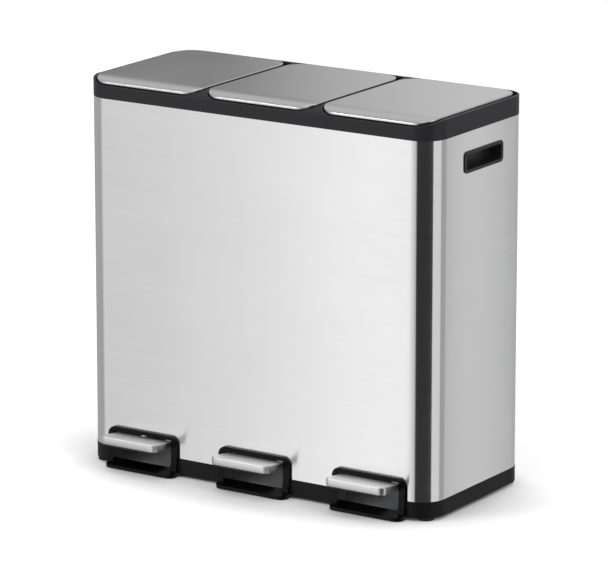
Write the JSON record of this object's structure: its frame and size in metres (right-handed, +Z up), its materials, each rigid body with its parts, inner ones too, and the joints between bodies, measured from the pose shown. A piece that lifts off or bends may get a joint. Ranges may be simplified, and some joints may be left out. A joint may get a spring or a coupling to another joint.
{
  "type": "recycling pedal bin",
  "caption": "Free-standing recycling bin: brushed steel sleeve on a black plastic base, hinged lids side by side, each opened by its own foot pedal, with lift-out buckets inside.",
  "frame": {"origin": "on the floor, at the centre of the whole outline, pedals included", "axes": "+X to the right along the width as seen from the pedals, -Y towards the pedals, +Z up"},
  "size_m": [0.592, 0.301, 0.5743],
  "materials": {
    "sleeve_steel": "horizontal brushed stainless sheet",
    "lid_steel": "brushed stainless sheet, darker in tone",
    "pedal_steel": "brushed stainless pressing",
    "base_plastic": "black moulded plastic, satin",
    "collar_plastic": "charcoal moulded plastic, satin",
    "handle_plastic": "black moulded plastic, satin",
    "gloss_plastic": "black moulded plastic, glossy",
    "liner_plastic": "black moulded plastic",
    "bucket_plastic": "dark grey moulded plastic with a fine texture",
    "rod_nylon": "natural nylon",
    "zinc_steel": "zinc-plated steel",
    "damper_steel": "satin plated steel",
    "rubber": "black rubber"
  },
  "bodies": {
    "cabinet": {"outer_sleeve": "sleeve_steel", "base_ring": "base_plastic", "deck_panel": "liner_plastic", "rubber_feet": "rubber", "top_collar": "collar_plastic", "carry_handle_left": "handle_plastic", "carry_handle_right": "handle_plastic", "surround_screws": "zinc_steel", "blind_rivets": "zinc_steel", "pedal_surround_left": "gloss_plastic", "pedal_surround_middle": "gloss_plastic", "pedal_surround_right": "gloss_plastic", "bucket_left": "bucket_plastic", "bucket_middle": "bucket_plastic", "bucket_right": "bucket_plastic", "hinge_pin_left": "zinc_steel", "hinge_pin_middle": "zinc_steel", "hinge_pin_right": "zinc_steel", "pedal_bracket_left": "zinc_steel", "pedal_bracket_middle": "zinc_steel", "pedal_bracket_right": "zinc_steel", "pedal_axle_left": "zinc_steel", "pedal_axle_middle": "zinc_steel", "pedal_axle_right": "zinc_steel", "rod_guides_left": "rod_nylon", "rod_guides_middle": "rod_nylon", "rod_guides_right": "rod_nylon", "damper_tube_left": "damper_steel", "damper_tube_middle": "damper_steel", "damper_tube_right": "damper_steel"},
    "lid_left": {"lid_skin_left": "lid_steel", "lid_liner_left": "liner_plastic", "lid_bumpers_left": "rubber"},
    "pedal_left": {"pedal_cap_left": "pedal_steel", "pedal_pad_left": "liner_plastic", "pedal_lever_left": "zinc_steel", "pedal_rivets_left": "zinc_steel"},
    "rod_left": {"push_rod_left": "zinc_steel", "rod_tips_left": "rod_nylon", "damper_plunger_left": "damper_steel"},
    "lid_middle": {"lid_skin_middle": "lid_steel", "lid_liner_middle": "liner_plastic", "lid_bumpers_middle": "rubber"},
    "pedal_middle": {"pedal_cap_middle": "pedal_steel", "pedal_pad_middle": "liner_plastic", "pedal_lever_middle": "zinc_steel", "pedal_rivets_middle": "zinc_steel"},
    "rod_middle": {"push_rod_middle": "zinc_steel", "rod_tips_middle": "rod_nylon", "damper_plunger_middle": "damper_steel"},
    "lid_right": {"lid_skin_right": "lid_steel", "lid_liner_right": "liner_plastic", "lid_bumpers_right": "rubber"},
    "pedal_right": {"pedal_cap_right": "pedal_steel", "pedal_pad_right": "liner_plastic", "pedal_lever_right": "zinc_steel", "pedal_rivets_right": "zinc_steel"},
    "rod_right": {"push_rod_right": "zinc_steel", "rod_tips_right": "rod_nylon", "damper_plunger_right": "damper_steel"}
  },
  "joints": [
    {"name": "lid_hinge_left", "type": "hinge", "parent": "cabinet", "child": "lid_left", "pos_m": [-0.194, 0.1315, 0.567], "axis": [-1, 0, 0], "range_deg": [0, 76]},
    {"name": "pedal_pivot_left", "type": "hinge", "parent": "cabinet", "child": "pedal_left", "pos_m": [-0.194, -0.01574, 0.03202], "axis": [1, 0, 0], "range_deg": [0, 9.5]},
    {"name": "rod_slide_left", "type": "slide", "parent": "cabinet", "child": "rod_left", "axis": [0, 0, 1], "range_m": [0, 0.02226]},
    {"name": "lid_hinge_middle", "type": "hinge", "parent": "cabinet", "child": "lid_middle", "pos_m": [0, 0.1315, 0.567], "axis": [-1, 0, 0], "range_deg": [0, 76]},
    {"name": "pedal_pivot_middle", "type": "hinge", "parent": "cabinet", "child": "pedal_middle", "pos_m": [0, -0.01574, 0.03202], "axis": [1, 0, 0], "range_deg": [0, 9.5]},
    {"name": "rod_slide_middle", "type": "slide", "parent": "cabinet", "child": "rod_middle", "axis": [0, 0, 1], "range_m": [0, 0.02226]},
    {"name": "lid_hinge_right", "type": "hinge", "parent": "cabinet", "child": "lid_right", "pos_m": [0.194, 0.1315, 0.567], "axis": [-1, 0, 0], "range_deg": [0, 76]},
    {"name": "pedal_pivot_right", "type": "hinge", "parent": "cabinet", "child": "pedal_right", "pos_m": [0.194, -0.01574, 0.03202], "axis": [1, 0, 0], "range_deg": [0, 9.5]},
    {"name": "rod_slide_right", "type": "slide", "parent": "cabinet", "child": "rod_right", "axis": [0, 0, 1], "range_m": [0, 0.02226]}
  ],
  "couplings": [
    {"joint": "pedal_pivot_left", "follows": "lid_hinge_left", "ratio": 0.125},
    {"joint": "rod_slide_left", "follows": "lid_hinge_left", "m_per_rad": 0.016779},
    {"joint": "pedal_pivot_middle", "follows": "lid_hinge_middle", "ratio": 0.125},
    {"joint": "rod_slide_middle", "follows": "lid_hinge_middle", "m_per_rad": 0.016779},
    {"joint": "pedal_pivot_right", "follows": "lid_hinge_right", "ratio": 0.125},
    {"joint": "rod_slide_right", "follows": "lid_hinge_right", "m_per_rad": 0.016779}
  ]
}
